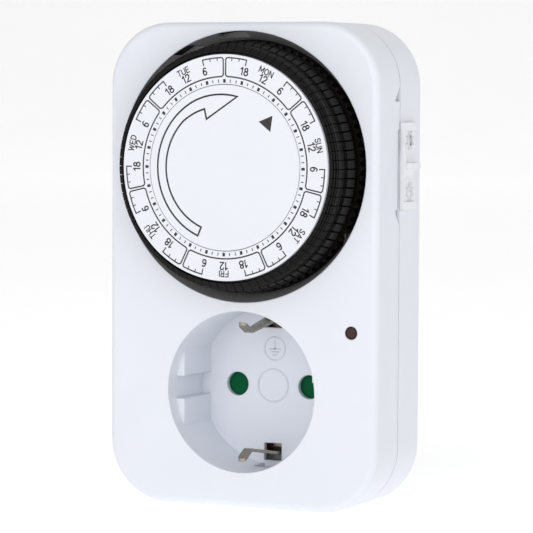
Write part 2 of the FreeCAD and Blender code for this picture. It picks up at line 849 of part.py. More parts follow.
DAYS = ["friday", "saturday", "sunday", "monday", "tuesday", "wednesday", "thursday"]


def tappet_groups():
    one = tappet()
    per_day = tappet_count // len(DAYS)
    axis_point = FreeCAD.Vector(0, 0, 0)
    axis = FreeCAD.Vector(0, 1, 0)
    for day_index, day in enumerate(DAYS):
        copies = []
        start_angle = -90.0 + (day_index - 0.5) * per_day * tappet_pitch
        for n in range(per_day):
            angle = start_angle + (n + 0.5) * tappet_pitch
            copy = one.copy()
            copy.rotate(axis_point, axis, -angle)
            copies.append(copy)
        group = feature(Part.makeCompound(copies), "tappets_" + day)
        centre = FreeCAD.Vector(0, float(front_y), float(dial_z))
        group.Placement = FreeCAD.Placement(centre, FreeCAD.Rotation())


keep("dial_well_liner", dial_well_liner())
keep("mechanism_plate", mechanism_plate())
keep("centre_post", centre_post())
keep("thrust_washer", ring(hub_radius - 0.5, post_radius + 0.1, hub_end + CLEAR, plate_front, 0.0, dial_z))
keep("centre_cap", centre_cap())
keep("scale_ring", ring(cell("scale_radius"), ring_inner, -dial_proud, scale_back, 0.0, dial_z))
keep("tappet_drum", tappet_drum())
dial_flange()
tappet_groups()


# Gear train

drive_back = hub_end - 0.4
drive_front = drive_back - cell("drive_thickness")
wheel_front = plate_back + 0.8
wheel_back = wheel_front + 1.4
bridge_front = cell("bridge_front")
bridge_back = bridge_front + cell("plate_thickness")
arbor_radius = cell("arbor_radius")
degrees_arbor = float(cell("arbor_angle"))
degrees_motor = float(cell("motor_angle"))


def facing_phase(teeth, toward):
    """The phase that puts a gap, not a tooth, on the line toward the mating gear."""
    return toward + 180.0 / float(teeth)


PINION_OVERLAP = 0.2
MOTOR_SHAFT_RADIUS = 1.0


def gear_train():
    gear("drive_gear", cell("drive_teeth"), float(hub_radius) + PRESS_FIT, drive_front, drive_back,
         0.0, dial_z, degrees_arbor)
    gear("arbor_pinion", cell("arbor_teeth"), float(arbor_radius) + PRESS_FIT, drive_front - PINION_OVERLAP,
         drive_back + PINION_OVERLAP, arbor_x, arbor_z,
         facing_phase(cell("arbor_teeth"), degrees_arbor + 180.0))
    gear("arbor_wheel", cell("wheel_teeth"), float(arbor_radius) + PRESS_FIT, wheel_front, wheel_back,
         arbor_x, arbor_z, degrees_motor)
    gear("motor_pinion", cell("motor_teeth"), MOTOR_SHAFT_RADIUS + PRESS_FIT, wheel_front - PINION_OVERLAP,
         wheel_back + PINION_OVERLAP, output_x, output_z,
         facing_phase(cell("motor_teeth"), degrees_motor + 180.0))
    keep("reduction_arbor", rod(arbor_radius, drive_front - 0.8, bridge_back + 0.4, arbor_x, arbor_z))


pillar_places = [(-24.0, dial_z + 12.0), (3.0, dial_z + 26.5), (24.0, dial_z + 13.0), (3.0, dial_z - 24.5)]
PILLAR_RADIUS = 2.0
PILLAR_SCREW_RADIUS = 1.0
PILLAR_SCREW_HEAD = 1.3


def gear_bridge():
    disc = rod(liner_radius - 2.9, bridge_front, bridge_back, 0.0, dial_z)
    through = (bridge_front - OVERCUT, bridge_back + OVERCUT)
    holes = [
        rod(arbor_radius + running_gap, through[0], through[1], arbor_x, arbor_z),
        rod(MOTOR_SHAFT_RADIUS + APART, through[0], through[1], output_x, output_z),
    ]
    for x, z in pillar_places:
        holes.append(rod(PILLAR_SCREW_RADIUS + CLEAR * 2, through[0], through[1], x, z))
    return cut(disc, *holes)


def bridge_pillars():
    bore = PILLAR_SCREW_RADIUS + CLEAR
    return group_of("Pillars", [ring(PILLAR_RADIUS, bore, plate_back, bridge_front, x, z)
                                for x, z in pillar_places])


def bridge_screws():
    half_slot = 0.3
    slot_floor = bridge_back + PILLAR_SCREW_HEAD - 0.5
    screws = []
    for x, z in pillar_places:
        shank = rod(PILLAR_SCREW_RADIUS, plate_back + 1.0, slot_floor, x, z)
        head = rod(PILLAR_RADIUS, bridge_back, bridge_back + PILLAR_SCREW_HEAD, x, z)
        slot = bar((x - PILLAR_RADIUS - OVERCUT, x + PILLAR_RADIUS + OVERCUT),
                   (slot_floor, bridge_back + PILLAR_SCREW_HEAD + OVERCUT), (z - half_slot, z + half_slot))
        screws.append(cut(fuse(shank, head), slot))
    return group_of("BridgeScrews", screws)


gear_train()
keep("gear_bridge", gear_bridge())
keep("bridge_pillars", bridge_pillars())
keep("bridge_screws", bridge_screws())


# Motor: a steel can with coil and magnet rotor, whose slow output shaft carries the motor pinion

motor_x = 5.0
motor_z = dial_z + 4.0
motor_radius = cell("motor_radius")
motor_front = bridge_back
motor_back = motor_front + cell("motor_depth")
can_front = motor_front + 1.0
CAN_SHEET = 0.6
BOBBIN_FLANGE = 0.8
ROTOR_RADIUS = 6.4
ROTOR_SHAFT = 0.8
PIVOT_DEPTH = 0.5
bobbin_front = can_front + APART
bobbin_back = motor_back - CAN_SHEET
bobbin_outer = motor_radius - CAN_SHEET - 1.0
bobbin_inner = ROTOR_RADIUS + 0.8
bobbin_core = bobbin_inner + 1.0


def motor_front_plate():
    disc = rod(motor_radius, motor_front, can_front, motor_x, motor_z)
    shaft_hole = rod(MOTOR_SHAFT_RADIUS + running_gap, motor_front - OVERCUT, can_front + OVERCUT,
                     output_x, output_z)
    pivot = rod(ROTOR_SHAFT + running_gap, can_front - PIVOT_DEPTH - 0.1, can_front + OVERCUT,
                motor_x, motor_z)
    return cut(disc, shaft_hole, pivot)


def motor_can():
    outer = rod(motor_radius, can_front, motor_back, motor_x, motor_z)
    inner = rod(motor_radius - CAN_SHEET, can_front - OVERCUT, bobbin_back, motor_x, motor_z)
    pivot = rod(ROTOR_SHAFT + running_gap, motor_back - OVERCUT, motor_back + OVERCUT, motor_x, motor_z)
    return cut(outer, inner, pivot)


def motor_bobbin():
    core = ring(bobbin_core, bobbin_inner, bobbin_front, bobbin_back, motor_x, motor_z)
    cheeks = [
        ring(bobbin_outer, bobbin_inner, bobbin_front, bobbin_front + BOBBIN_FLANGE, motor_x, motor_z),
        ring(bobbin_outer, bobbin_inner, bobbin_back - BOBBIN_FLANGE, bobbin_back, motor_x, motor_z),
    ]
    return fuse(core, *cheeks)


def motor_rotor():
    magnet = rod(ROTOR_RADIUS, can_front + 0.8, motor_back - 1.4, motor_x, motor_z)
    return fuse(magnet, rod(ROTOR_SHAFT, can_front - PIVOT_DEPTH, motor_back, motor_x, motor_z))


keep("motor_front_plate", motor_front_plate())
keep("motor_can", motor_can())
keep("motor_bobbin", motor_bobbin())
keep("motor_winding", ring(bobbin_outer - 0.6, bobbin_core, bobbin_front + BOBBIN_FLANGE,
                           bobbin_back - BOBBIN_FLANGE, motor_x, motor_z))
keep("motor_rotor", motor_rotor())
keep("motor_shaft", rod(MOTOR_SHAFT_RADIUS, wheel_front - 0.4, can_front - 0.1, output_x, output_z))


# Switch: trip lever, moving and fixed contact blades in a moulded block

blade_thickness = cell("blade_thickness")
CONTACT_RADIUS = 1.2
ARM_WIDTH = 2.4
PAD_HALF = 1.0
WEDGE_LENGTH = 1.6
WEDGE_HALF_ANGLE = 0.55
blade_x = (switch_x[0] + 1.4, switch_x[1] - 1.2)
blade_mid = (blade_x[0] + blade_x[1]) / 2
contact_z = switch_high + 11.3
blade_top = contact_z + 1.4
fixed_front = switch_front + 0.8
fixed_back = fixed_front + blade_thickness
moving_front = fixed_front + 3.3
moving_back = moving_front + blade_thickness - 0.1
arm_front = plate_back + 0.4
arm_back = arm_front + 1.6
stem_tip = cell("stem_reach") + cell("tappet_travel")


def trip_lever():
    """A rocker whose wedge stands between two stems and whose pad presses the moving contact."""
    barrel = cut(cross_rod(LEVER_BARREL_RADIUS, lever_x[0], lever_x[1], lever_depth, lever_z),
                 cross_rod(LEVER_PIN_RADIUS + running_gap, lever_x[0] - OVERCUT, lever_x[1] + OVERCUT,
                           lever_depth, lever_z))
    upper = bar((lever_x[0], lever_x[0] + ARM_WIDTH), (arm_front, arm_back),
                (lever_z + 1.4, nose_z + NOSE_HALF))
    nose = bar((nose_x - NOSE_HALF, nose_x + NOSE_HALF + 0.1), (stem_tip + APART, arm_back),
               (nose_z - NOSE_HALF, nose_z + NOSE_HALF))
    wedge = doc.addObject("Part::Feature", "Wedge")
    outline = sector_wire(tappet_inner + 0.1, stem_outer - 0.1, math.degrees(nose_angle), WEDGE_HALF_ANGLE)
    wedge.Shape = Part.Face(outline).extrude(FreeCAD.Vector(0, WEDGE_LENGTH, 0))
    place(wedge, 0.0, stem_tip + 0.6 - WEDGE_LENGTH, dial_z)
    arm_x = (lever_x[0] + 0.4, lever_x[0] + 0.4 + ARM_WIDTH)
    lower = bar(arm_x, (arm_front, arm_back), (contact_z - PAD_HALF, lever_z - 1.4))
    pad = bar(arm_x, (moving_back + APART, arm_back), (contact_z - PAD_HALF, contact_z + PAD_HALF))
    return fuse(barrel, upper, nose, wedge, lower, pad)


def moving_contact():
    blade = bar(blade_x, (moving_front, moving_back), (switch_high + POCKET, blade_top))
    rivet = rod(CONTACT_RADIUS, moving_front - 1.0, moving_front + 0.1, blade_mid, contact_z)
    return fuse(blade, rivet)


def fixed_contact():
    blade = bar(blade_x, (fixed_front, fixed_back), (switch_low, blade_top))
    rivet = rod(CONTACT_RADIUS, fixed_back - 0.1, fixed_back + 0.15, blade_mid, contact_z)
    return fuse(blade, rivet)


def switch_block():
    block = bar(switch_x, (switch_front, switch_back), (switch_low, switch_high))
    slot = bar(blade_x, (fixed_front, fixed_back), (switch_low - OVERCUT, switch_high + OVERCUT))
    return cut(block, slot)


keep("trip_lever", trip_lever())
keep("lever_pin", cross_rod(LEVER_PIN_RADIUS, lever_x[0] - 1.4, lever_x[1] + 1.4, lever_depth, lever_z))
keep("moving_contact", moving_contact())
keep("fixed_contact", fixed_contact())
keep("switch_block", switch_block())


# Override slider on the right side, with its inner stem and finger

foot_x = (inner_half - 1.4, inner_half - POCKET)
FINGER_DEPTH = 2.4
rail_depth = (seam_depth - 0.9, seam_depth - 0.1)
SPRING_SHEET = 0.3


def slider_plate():
    """The grip: two sunk windows, two scoops and the finger rib between them."""
    proud = half_width + cell("slider_proud")
    base = half_width + CLEAR
    slider_top = slider_low + slider_length
    sunk = (proud - 0.35, proud + OVERCUT)
    window_depth = (slider_front + 0.9, slider_back + OVERCUT)
    scoop_depth = (slider_front + 1.6, slider_back + OVERCUT)
    rib_z = slider_low + 10.5
    plate = bar((base, proud), (slider_front, slider_back), (slider_low, slider_top))
    upper_window = bar(sunk, window_depth, (slider_top - 7.0, slider_top - 2.1))
    lower_window = bar(sunk, window_depth, (slider_low + 2.1, slider_low + 7.1))
    upper_scoop = rod(3.6, scoop_depth[0], scoop_depth[1], proud + 2.9, rib_z + 2.6)
    lower_scoop = rod(3.0, scoop_depth[0], scoop_depth[1], proud + 2.4, rib_z - 1.9)
    rib = bar((base, proud + 1.1), (slider_front + 1.9, slider_back - POCKET), (rib_z - 0.7, rib_z + 0.7))
    return fuse(cut(plate, upper_window, lower_window, upper_scoop, lower_scoop), rib)


def override_slider():
    """The grip with the stem, foot and finger behind the wall and the leg that fills the rail slot."""
    stem = bar((foot_x[0], half_width + CLEAR + POCKET), (stem_front, stem_back), (stem_low, stem_high))
    foot = bar(foot_x, (stem_front - POCKET, stem_back + 1.8),
               (stem_low - FINGER_DEPTH, stem_high + FINGER_DEPTH))
    finger = bar(foot_x, (stem_front, stem_front + FINGER_DEPTH), (slider_low - 7.0, stem_low))
    leg = bar((foot_x[0], half_width - 0.5), rail_depth, (slider_low + APART, slider_low + 13.5))
    neck = bar(foot_x, (rail_depth[0], stem_front), (stem_low, stem_high - 1.0))
    return fuse(slider_plate(), stem, foot, finger, leg, neck)


def detent_spring():
    spring_x = foot_x[0] - 0.5
    return bar((spring_x - SPRING_SHEET, spring_x), (stem_back + 0.4, slider_back),
               (slider_low, slider_low + 16.0))


keep("override_slider", override_slider())
keep("detent_spring", detent_spring())


# Socket: shutter, contacts, earth strap

strip_thickness = cell("strip_thickness")
shutter_front = floor_back + APART
shutter_back = shutter_front + 1.1
strap_front = shutter_back + 0.8
strap_back = strap_front + 0.6
pin_head_front = plug_inner - cell("pin_head_length")
carrier_back = pin_head_front - 0.4
sleeve_inner = cell("plug_pin_radius") - CLEAR
sleeve_outer = sleeve_inner + 0.55
sleeve_back = pin_head_front - cell("neutral_link_length")
PIVOT_RADIUS = 1.5
PIN_CHAMFER = (0.9, 1.2)
shutter_wing = cell("pin_hole_radius") + 0.7

BAR_SHEET = 0.5
busbar_x = 13.9
feed_front = floor_back + 1.1
feed_x = cup_radius + 7.5
link_x = cup_radius + 2.8


def shutter():
    wings = [rod(shutter_wing, shutter_front, shutter_back, pin_x * side) for side in (1, -1)]
    web = bar((-pin_x, pin_x), (shutter_front, shutter_back), (-2.2, 2.2))
    hub = rod(4.2, shutter_front, shutter_back)
    bore = rod(PIVOT_RADIUS + running_gap, shutter_front - OVERCUT, shutter_back + OVERCUT)
    return cut(fuse(web, hub, *wings), bore)


def contact_carrier():
    through = (strap_back - OVERCUT, carrier_back + OVERCUT)
    body = plug_section(plug_radius - plug_wall - POCKET, plug_half_flat - plug_wall - POCKET,
                        strap_back, carrier_back)
    cuts = [rod(sleeve_outer + 0.4, through[0], through[1], pin_x * side) for side in (1, -1)]
    for side in (1, -1):
        cuts.append(bar((-leg_half - POCKET, leg_half + POCKET), through,
                        mirrored(clip_root_rise - 1.2, plug_radius, side)))
    cuts.append(bar((busbar_x - APART, busbar_x + 2.0), through, (-6.4, -2.6)))
    return cut(body, *cuts)


def contact_sleeve(side):
    """A sprung tube, slit along its top."""
    half_slit = 0.4
    tube = ring(sleeve_outer, sleeve_inner, strap_back, sleeve_back, pin_x * side)
    slit = bar((pin_x * side - half_slit, pin_x * side + half_slit),
               (strap_back + 3.0, sleeve_back + OVERCUT), (0.0, sleeve_outer + OVERCUT))
    return cut(tube, slit)


def plug_pin(name, side):
    """A pin with a head behind the plug face and a collar inside it."""
    radius = cell("plug_pin_radius")
    collar = cell("pin_collar_radius")
    head = cell("pin_head_radius")
    tip = plug_face_depth + cell("plug_pin_length")
    profile = [
        (0.0, pin_head_front), (head, pin_head_front), (head, plug_inner), (collar, plug_inner),
        (collar, plug_face_depth), (radius, plug_face_depth), (radius, tip - PIN_CHAMFER[1]),
        (radius - PIN_CHAMFER[0], tip), (0.0, tip),
    ]
    return revolved_pin(name, profile, pin_x * side, 0.0)


# Earth clips: a strip that rises from the floor slot, bends over and ends in a rounded tip near the front

clip_arm_half = float(cell("clip_arm_half"))
clip_tip_half = float(cell("clip_tip_half"))
clip_root_rise = float(cell("clip_root_rise"))


def bent_strip(points, thickness, half_width_x):
    """A flat strip bent along (depth, z) points, with round bends."""
    solids = []
    for n in range(len(points) - 1):
        (d0, z0), (d1, z1) = points[n], points[n + 1]
        length = math.hypot(d1 - d0, z1 - z0)
        across = (-(z1 - z0) / length * thickness / 2, (d1 - d0) / length * thickness / 2)
        outline = [
            (d0 + across[0], z0 + across[1]), (d1 + across[0], z1 + across[1]),
            (d1 - across[0], z1 - across[1]), (d0 - across[0], z0 - across[1]),
        ]
        solids.append(prism(outline, -half_width_x, half_width_x))
    for d, z in points[:-1]:
        centre = FreeCAD.Vector(-half_width_x, float(front_y) + d, z)
        solids.append(Part.makeCylinder(thickness / 2, 2 * half_width_x, centre, FreeCAD.Vector(1, 0, 0)))
    return solids[0].fuse(solids[1:])


def clip_plan(stations):
    """The clip's outline seen along Z, from (depth, half width) stations, with a round front end."""
    tip_depth, tip_half = stations[0]
    rows = [(half, depth) for depth, half in stations]
    corners = [FreeCAD.Vector(x, float(front_y) + depth, 0) for x, depth in rows]
    mirror = [FreeCAD.Vector(-corner.x, corner.y, 0) for corner in reversed(corners)]
    front = FreeCAD.Vector(0, float(front_y) + tip_depth - tip_half, 0)
    edges = [Part.makePolygon(corners + mirror), Part.Arc(mirror[-1], front, corners[0]).toShape()]
    return Part.Face(Part.Wire(Part.__sortEdges__([edge for item in edges for edge in item.Edges])))


def earth_strap():
    thickness = float(strip_thickness)
    floor_depth = float(socket_depth)
    arm_end = float(leg_end) + 1.0
    tip_depth = float(cell("clip_tip_depth"))
    bend = (float(cell("clip_bend_depth")), float(cell("clip_bend_rise")))
    line = [(tip_depth, float(cell("clip_tip_rise"))), bend, (floor_depth, float(cell("clip_floor_rise"))),
            (float(strap_front), clip_root_rise), (arm_end, clip_root_rise)]
    plan = clip_plan([(tip_depth + clip_tip_half, clip_tip_half), (bend[0], clip_tip_half),
                      (floor_depth, clip_arm_half), (arm_end + OVERCUT, clip_arm_half)])
    arms = []
    for side in (1, -1):
        strip = bent_strip([(d, z * side) for d, z in line], thickness, clip_arm_half)
        blank = plan.extrude(FreeCAD.Vector(0, 0, 2 * clip_root_rise * side))
        arms.append(strip.common(blank))
    cross = Part.makeBox(2 * clip_arm_half, float(strap_back - strap_front), 2 * clip_root_rise,
                         FreeCAD.Vector(-clip_arm_half, float(front_y + strap_front), -clip_root_rise))
    hole = Part.makeCylinder(PIVOT_RADIUS, 3.0, FreeCAD.Vector(0, float(front_y + strap_front) - OVERCUT, 0),
                             FreeCAD.Vector(0, 1, 0))
    return cross.cut(hole).fuse(arms).removeSplitter()


def plug_earth_contacts():
    strips = []
    for side in (1, -1):
        strip = bar((-contact_half, contact_half), (contact_start, plug_face_depth - 0.5),
                    mirrored(contact_seat, contact_seat + 0.75, side))
        leg = bar((-leg_half, leg_half), (leg_start, leg_end),
                  mirrored(clip_root_rise + strip_thickness / 2, contact_seat + 0.1, side))
        strips.append(fuse(strip, leg))
    return group_of("EarthContacts", strips)


def shutter_spring():
    """A torsion spring of two and a half turns round the shutter's pivot."""
    wire = 0.14
    turns = 2.5
    coil_radius = PIVOT_RADIUS + 0.7
    rise = float(strap_front - shutter_back) - 2 * wire - 2 * CLEAR
    helix = Part.makeHelix(rise / turns, rise, coil_radius)
    start = helix.Edges[0].valueAt(helix.Edges[0].FirstParameter)
    tangent = helix.Edges[0].tangentAt(helix.Edges[0].FirstParameter)
    section = Part.Wire([Part.Circle(start, tangent, wire).toShape()])
    solid = Part.Wire(helix.Edges).makePipeShell([section], True, True)
    solid.rotate(FreeCAD.Vector(0, 0, 0), FreeCAD.Vector(1, 0, 0), -90)
    solid.translate(FreeCAD.Vector(0, float(front_y + shutter_back) + wire + CLEAR, 0))
    return solid


def live_busbar():
    """From the right plug pin's head along the plug wall and across to the fixed contact."""
    along = (busbar_x, busbar_x + BAR_SHEET)
    riser = (feed_x, feed_x + BAR_SHEET)
    z = (-6.0, -3.0)
    foot_depth = (fixed_front - POCKET, fixed_front + 2.4)
    return fuse(
        bar((pin_x, along[1]), (pin_head_front - 0.35, pin_head_front), (z[0], 0.0)),
        bar(along, (feed_front, pin_head_front), z),
        bar((busbar_x, riser[1]), (feed_front, feed_front + BAR_SHEET), z),
        bar(riser, (foot_depth[0], feed_front + BAR_SHEET), z),
        bar(riser, foot_depth, (z[0], switch_low)),
        bar((blade_x[1], riser[1]), foot_depth, (switch_low - BAR_SHEET, switch_low)),
    )


def switched_busbar():
    """From the right contact sleeve across to the moving contact."""
    z = (-1.6, 1.6)
    along = (busbar_x, busbar_x + BAR_SHEET)
    riser = (link_x, link_x + BAR_SHEET + 0.1)
    strap = fuse(
        bar((pin_x - sleeve_outer, along[1]), (strap_front, strap_back), z),
        bar(along, (feed_front, strap_back), z),
        bar((busbar_x, riser[1]), (feed_front, feed_front + BAR_SHEET), z),
        bar(riser, (moving_front, feed_front + BAR_SHEET), z),
        bar(riser, (moving_front, moving_front + 3.0), (z[0], switch_low)),
    )
    return cut(strap, rod(sleeve_inner, strap_front - OVERCUT, strap_back + OVERCUT, pin_x))


keep("shutter", shutter())
keep("shutter_pivot", rod(PIVOT_RADIUS, floor_back + CLEAR * 2, strap_back))
feature(shutter_spring(), "shutter_spring")
keep("contact_carrier", contact_carrier())
keep("contact_sleeve_left", contact_sleeve(-1))
keep("contact_sleeve_right", contact_sleeve(1))
keep("neutral_link", rod(sleeve_outer, sleeve_back, pin_head_front, -pin_x))
feature(earth_strap(), "earth_strap")
keep("plug_pin_left", plug_pin("PlugPinLeft", -1))
keep("plug_pin_right", plug_pin("PlugPinRight", 1))
keep("plug_earth_contacts", plug_earth_contacts())
keep("live_busbar", live_busbar())
keep("switched_busbar", switched_busbar())


# Indicator: lens in the front face, glow lamp and resistor on a small board

lens_x = cell("lens_x")
lens_z = cell("lens_z")
LENS_FLANGE = 0.6
RESISTOR_RADIUS = 1.1


def indicator_lens():
    radius = cell("lens_radius")
    return fuse(rod(radius, CLEAR * 2, wall + LENS_FLANGE / 2, lens_x, lens_z),
                rod(radius + 0.8, wall, wall + LENS_FLANGE, lens_x, lens_z))


keep("indicator_lens", indicator_lens())
keep("indicator_lamp", rod(cell("lens_radius"), wall + LENS_FLANGE + POCKET, board_depth, lens_x, lens_z))
keep("lamp_board", bar((lens_x - 1.4, lens_x + 3.2), (board_depth, board_depth + BOARD_THICKNESS),
                       (lens_z - 10.0, lens_z + 3.5)))
resistor_depth = board_depth + BOARD_THICKNESS + RESISTOR_RADIUS
keep("lamp_resistor", upright_rod(RESISTOR_RADIUS, lens_x + 0.8, resistor_depth, lens_z - 9.0, lens_z - 2.0))


# Check and write every sub-part

doc.recompute()
for item in doc.Objects:
    for state in item.State:
        if state in ("Invalid", "Error"):
            raise RuntimeError("%s is %s" % (item.Name, state))
for item in subparts:
    if item.Shape.isNull() or not item.Shape.isValid():
        raise RuntimeError("%s has no valid shape" % item.Label)

os.makedirs("parts", exist_ok=True)
for item in subparts:
    item.Shape.exportStep("parts/%s.step" % item.Label)
print("%d sub-parts" % len(subparts))
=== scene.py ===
import math

import bmesh
import bpy
from mathutils import Matrix, Vector


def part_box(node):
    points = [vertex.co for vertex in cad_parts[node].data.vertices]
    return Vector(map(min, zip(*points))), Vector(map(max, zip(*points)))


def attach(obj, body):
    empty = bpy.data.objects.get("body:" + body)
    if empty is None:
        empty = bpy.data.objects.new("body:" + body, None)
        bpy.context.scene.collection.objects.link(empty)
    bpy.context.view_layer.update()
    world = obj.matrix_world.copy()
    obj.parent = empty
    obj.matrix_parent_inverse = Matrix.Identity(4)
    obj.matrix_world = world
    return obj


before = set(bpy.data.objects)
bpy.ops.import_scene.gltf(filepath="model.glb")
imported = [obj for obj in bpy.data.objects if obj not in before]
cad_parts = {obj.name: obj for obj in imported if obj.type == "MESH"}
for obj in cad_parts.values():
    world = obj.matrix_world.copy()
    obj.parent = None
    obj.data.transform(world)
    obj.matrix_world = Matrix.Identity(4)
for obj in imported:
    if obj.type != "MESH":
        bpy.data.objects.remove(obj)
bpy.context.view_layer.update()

# Plug-in weekly timer switch. Metres, +X to the right, +Y into the wall, +Z up. Flat drawings are in
# millimetres and degrees, and a place function turns their points into points of the frame.

MM = 0.001


# Stations, taken from the frame apart from the depth of the socket

def middle(node):
    low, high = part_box(node)
    return (low + high) / 2


housing_low, housing_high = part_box("front_shell")
front_y = housing_low.y
dial_face_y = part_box("scale_ring")[0].y
dial_z = middle("scale_ring").z
lens_centre = middle("indicator_lens")
slider_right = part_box("override_slider")[1].x
socket_depth = 18.3 * MM
floor_y = front_y + socket_depth


# Mesh helpers

MITRE_LIMIT = 0.45
PEN_OVERRUN = 0.4


def mesh_from(name, builder):
    work = bmesh.new()
    builder(work)
    bmesh.ops.recalc_face_normals(work, faces=work.faces)
    mesh = bpy.data.meshes.new(name)
    work.to_mesh(mesh)
    work.free()
    return mesh


def new_piece(name, builder, material, body):
    """Add what builder draws as a piece that rides on a body."""
    mesh = mesh_from(name, builder)
    piece = bpy.data.objects.new(name, mesh)
    bpy.context.scene.collection.objects.link(piece)
    mesh.materials.append(material)
    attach(piece, body)


def add_prism(work, outline, place, thickness):
    """Extrude a flat outline. place turns (across, up, proud) into a point; proud 0 is the carrying face."""
    low = [work.verts.new(place(u, v, 0.0)) for u, v in outline]
    high = [work.verts.new(place(u, v, thickness)) for u, v in outline]
    count = len(outline)
    work.faces.new(low)
    work.faces.new(high)
    for n in range(count):
        m = (n + 1) % count
        work.faces.new((low[n], low[m], high[m], high[n]))


def add_band(work, inner, outer, place, thickness, closed):
    """Extrude the strip between two matching rows of points."""
    rows = []
    for points in (inner, outer):
        for proud in (0.0, thickness):
            rows.append([work.verts.new(place(u, v, proud)) for u, v in points])
    in_low, in_high, out_low, out_high = rows
    count = len(inner)
    last = count if closed else count - 1
    for n in range(last):
        m = (n + 1) % count
        work.faces.new((in_high[n], in_high[m], out_high[m], out_high[n]))
        work.faces.new((in_low[n], in_low[m], out_low[m], out_low[n]))
        work.faces.new((in_low[n], in_low[m], in_high[m], in_high[n]))
        work.faces.new((out_low[n], out_low[m], out_high[m], out_high[n]))
    if not closed:
        for n in (0, count - 1):
            work.faces.new((in_low[n], out_low[n], out_high[n], in_high[n]))


def polar(radius, degrees):
    angle = math.radians(degrees)
    return radius * math.cos(angle), radius * math.sin(angle)


def arc(radius, start, end, step=2.0):
    count = max(2, int(abs(end - start) / step) + 1)
    return [polar(radius, start + (end - start) * n / (count - 1)) for n in range(count)]


def add_arc_band(work, r_inner, r_outer, start, end, place, thickness):
    full = abs(end - start) >= 360.0
    inner = arc(r_inner, start, end)
    outer = arc(r_outer, start, end)
    if full:
        inner.pop()
        outer.pop()
    add_band(work, inner, outer, place, thickness, closed=full)


def add_ring(work, radius, width, place, thickness):
    """A full circle drawn inside the given radius."""
    add_arc_band(work, radius - width, radius, 0.0, 360.0, place, thickness)


def add_line(work, start, end, width, place, thickness):
    (x0, y0), (x1, y1) = start, end
    length = math.hypot(x1 - x0, y1 - y0)
    nx = -(y1 - y0) / length * width / 2
    ny = (x1 - x0) / length * width / 2
    outline = [(x0 + nx, y0 + ny), (x1 + nx, y1 + ny), (x1 - nx, y1 - ny), (x0 - nx, y0 - ny)]
    add_prism(work, outline, place, thickness)


def add_radial_line(work, degrees, r_start, r_end, width, place, thickness):
    add_line(work, polar(r_start, degrees), polar(r_end, degrees), width, place, thickness)


def add_stroke(work, points, width, place, thickness):
    """A closed outline drawn with a pen of the given width, its sharp corners cut at the mitre limit."""
    count = len(points)
    sides = ([], [])
    for n in range(count):
        before = Vector(points[n - 1])
        here = Vector(points[n])
        after = Vector(points[(n + 1) % count])
        first = (here - before).normalized()
        second = (after - here).normalized()
        normal = Vector((-first.y - second.y, first.x + second.x)).normalized()
        spread = max(MITRE_LIMIT, normal.dot(Vector((-first.y, first.x))))
        for row, sign in zip(sides, (1, -1)):
            row.append(tuple(here + normal * sign * width / 2 / spread))
    add_band(work, sides[0], sides[1], place, thickness, closed=True)


def add_pen_line(work, points, pen, place, thickness):
    """Straight strokes from point to point, each run past its ends by a share of the pen."""
    for (x0, y0), (x1, y1) in zip(points, points[1:]):
        length = math.hypot(x1 - x0, y1 - y0)
        ux = (x1 - x0) / length * pen * PEN_OVERRUN
        uy = (y1 - y0) / length * pen * PEN_OVERRUN
        add_line(work, (x0 - ux, y0 - uy), (x1 + ux, y1 + uy), pen, place, thickness)


def ellipse(cx, cy, rx, ry, count=12):
    return [(cx + rx * math.cos(2 * math.pi * n / count), cy + ry * math.sin(2 * math.pi * n / count))
            for n in range(count + 1)]


# Faces that carry a drawing

def on_dial(u, v, proud):
    return Vector((u * MM, dial_face_y - proud * MM, dial_z + v * MM))


def on_floor(u, v, proud):
    return Vector((u * MM, floor_y - proud * MM, v * MM))


# Plain letters of one stroke width: the width of each, then its pen lines, for capitals one unit high

